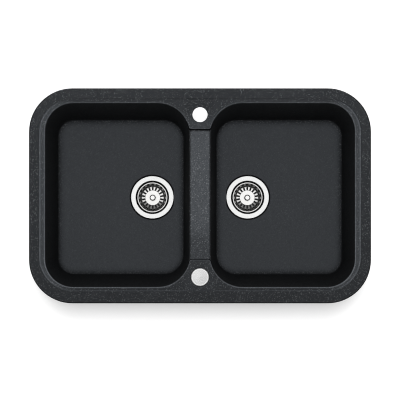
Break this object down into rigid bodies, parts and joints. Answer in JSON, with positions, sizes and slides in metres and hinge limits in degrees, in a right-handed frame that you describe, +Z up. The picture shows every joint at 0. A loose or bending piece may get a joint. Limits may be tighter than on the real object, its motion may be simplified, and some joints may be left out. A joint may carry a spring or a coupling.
{
  "type": "double bowl kitchen sink",
  "caption": "Drop-in kitchen sink in dark composite with side-by-side bowls, lowered divider, tap hole, basket wastes and covered overflow.",
  "frame": {"origin": "centre of the worktop cut-out, on the top surface of the worktop that the rim rests on", "axes": "+X along the width, to the right; +Y to the rear, where the tap hole is; +Z up"},
  "size_m": [0.795, 0.5, 0.2991],
  "materials": {
    "granite": "matte",
    "steel": "satin",
    "rubber": "matte",
    "plastic": "satin",
    "brass": "satin",
    "zinc": "satin",
    "foam": "matte"
  },
  "bodies": {
    "root": {"sink_body": "granite", "rim_sealing_strip": "foam", "left_strainer_cup": "steel", "left_flange_gasket": "rubber", "left_waste_body": "plastic", "left_waste_neck": "plastic", "left_body_gasket": "rubber", "left_waste_screw": "steel", "left_screw_insert": "brass", "right_strainer_cup": "steel", "right_flange_gasket": "rubber", "right_waste_body": "plastic", "right_waste_neck": "plastic", "right_body_gasket": "rubber", "right_waste_screw": "steel", "right_screw_insert": "brass", "port_nut": "plastic", "port_seal": "rubber", "cross_pipe": "plastic", "elbow_side_nut": "plastic", "elbow_side_seal": "rubber", "port_cap": "plastic", "port_cap_seal": "rubber", "overflow_cover": "steel", "overflow_stud": "steel", "overflow_gasket": "rubber", "overflow_funnel": "plastic", "funnel_nut": "plastic", "funnel_seal": "rubber", "down_pipe": "plastic", "elbow_top_nut": "plastic", "elbow_top_seal": "rubber", "overflow_elbow": "plastic"},
    "left_basket_set": {"left_basket": "steel", "left_basket_seal": "rubber", "left_basket_stem": "steel", "left_stem_clip": "steel", "left_basket_knob": "steel"},
    "right_basket_set": {"right_basket": "steel", "right_basket_seal": "rubber", "right_basket_stem": "steel", "right_stem_clip": "steel", "right_basket_knob": "steel"},
    "rear_left_clamp_screw": {"rear_left_clamp_screw": "zinc"},
    "rear_left_clamp_claw": {"rear_left_clamp_claw": "zinc"},
    "rear_right_clamp_screw": {"rear_right_clamp_screw": "zinc"},
    "rear_right_clamp_claw": {"rear_right_clamp_claw": "zinc"},
    "front_left_clamp_screw": {"front_left_clamp_screw": "zinc"},
    "front_left_clamp_claw": {"front_left_clamp_claw": "zinc"},
    "front_right_clamp_screw": {"front_right_clamp_screw": "zinc"},
    "front_right_clamp_claw": {"front_right_clamp_claw": "zinc"},
    "left_clamp_screw": {"left_clamp_screw": "zinc"},
    "left_clamp_claw": {"left_clamp_claw": "zinc"},
    "right_clamp_screw": {"right_clamp_screw": "zinc"},
    "right_clamp_claw": {"right_clamp_claw": "zinc"}
  },
  "joints": [
    {"name": "left_basket_lift", "type": "slide", "parent": "root", "child": "left_basket_set", "axis": [0, 0, 1], "range_m": [0, 0.25]},
    {"name": "right_basket_lift", "type": "slide", "parent": "root", "child": "right_basket_set", "axis": [0, 0, 1], "range_m": [0, 0.25]},
    {"name": "rear_left_clamp_raise", "type": "slide", "parent": "root", "child": "rear_left_clamp_screw", "axis": [0, 0, 1], "range_m": [0, 0.012]},
    {"name": "rear_left_clamp_swing", "type": "hinge", "parent": "rear_left_clamp_screw", "child": "rear_left_clamp_claw", "pos_m": [-0.19175, 0.2305, -0.051], "axis": [0, 0, 1], "range_deg": [0, 90]},
    {"name": "rear_right_clamp_raise", "type": "slide", "parent": "root", "child": "rear_right_clamp_screw", "axis": [0, 0, 1], "range_m": [0, 0.012]},
    {"name": "rear_right_clamp_swing", "type": "hinge", "parent": "rear_right_clamp_screw", "child": "rear_right_clamp_claw", "pos_m": [0.19175, 0.2305, -0.051], "axis": [0, 0, 1], "range_deg": [0, 90]},
    {"name": "front_left_clamp_raise", "type": "slide", "parent": "root", "child": "front_left_clamp_screw", "axis": [0, 0, 1], "range_m": [0, 0.012]},
    {"name": "front_left_clamp_swing", "type": "hinge", "parent": "front_left_clamp_screw", "child": "front_left_clamp_claw", "pos_m": [-0.19175, -0.2305, -0.051], "axis": [0, 0, 1], "range_deg": [0, 90]},
    {"name": "front_right_clamp_raise", "type": "slide", "parent": "root", "child": "front_right_clamp_screw", "axis": [0, 0, 1], "range_m": [0, 0.012]},
    {"name": "front_right_clamp_swing", "type": "hinge", "parent": "front_right_clamp_screw", "child": "front_right_clamp_claw", "pos_m": [0.19175, -0.2305, -0.051], "axis": [0, 0, 1], "range_deg": [0, 90]},
    {"name": "left_clamp_raise", "type": "slide", "parent": "root", "child": "left_clamp_screw", "axis": [0, 0, 1], "range_m": [0, 0.012]},
    {"name": "left_clamp_swing", "type": "hinge", "parent": "left_clamp_screw", "child": "left_clamp_claw", "pos_m": [-0.378, 0.00185, -0.051], "axis": [0, 0, 1], "range_deg": [0, 90]},
    {"name": "right_clamp_raise", "type": "slide", "parent": "root", "child": "right_clamp_screw", "axis": [0, 0, 1], "range_m": [0, 0.012]},
    {"name": "right_clamp_swing", "type": "hinge", "parent": "right_clamp_screw", "child": "right_clamp_claw", "pos_m": [0.378, 0.00185, -0.051], "axis": [0, 0, 1], "range_deg": [0, 90]}
  ]
}
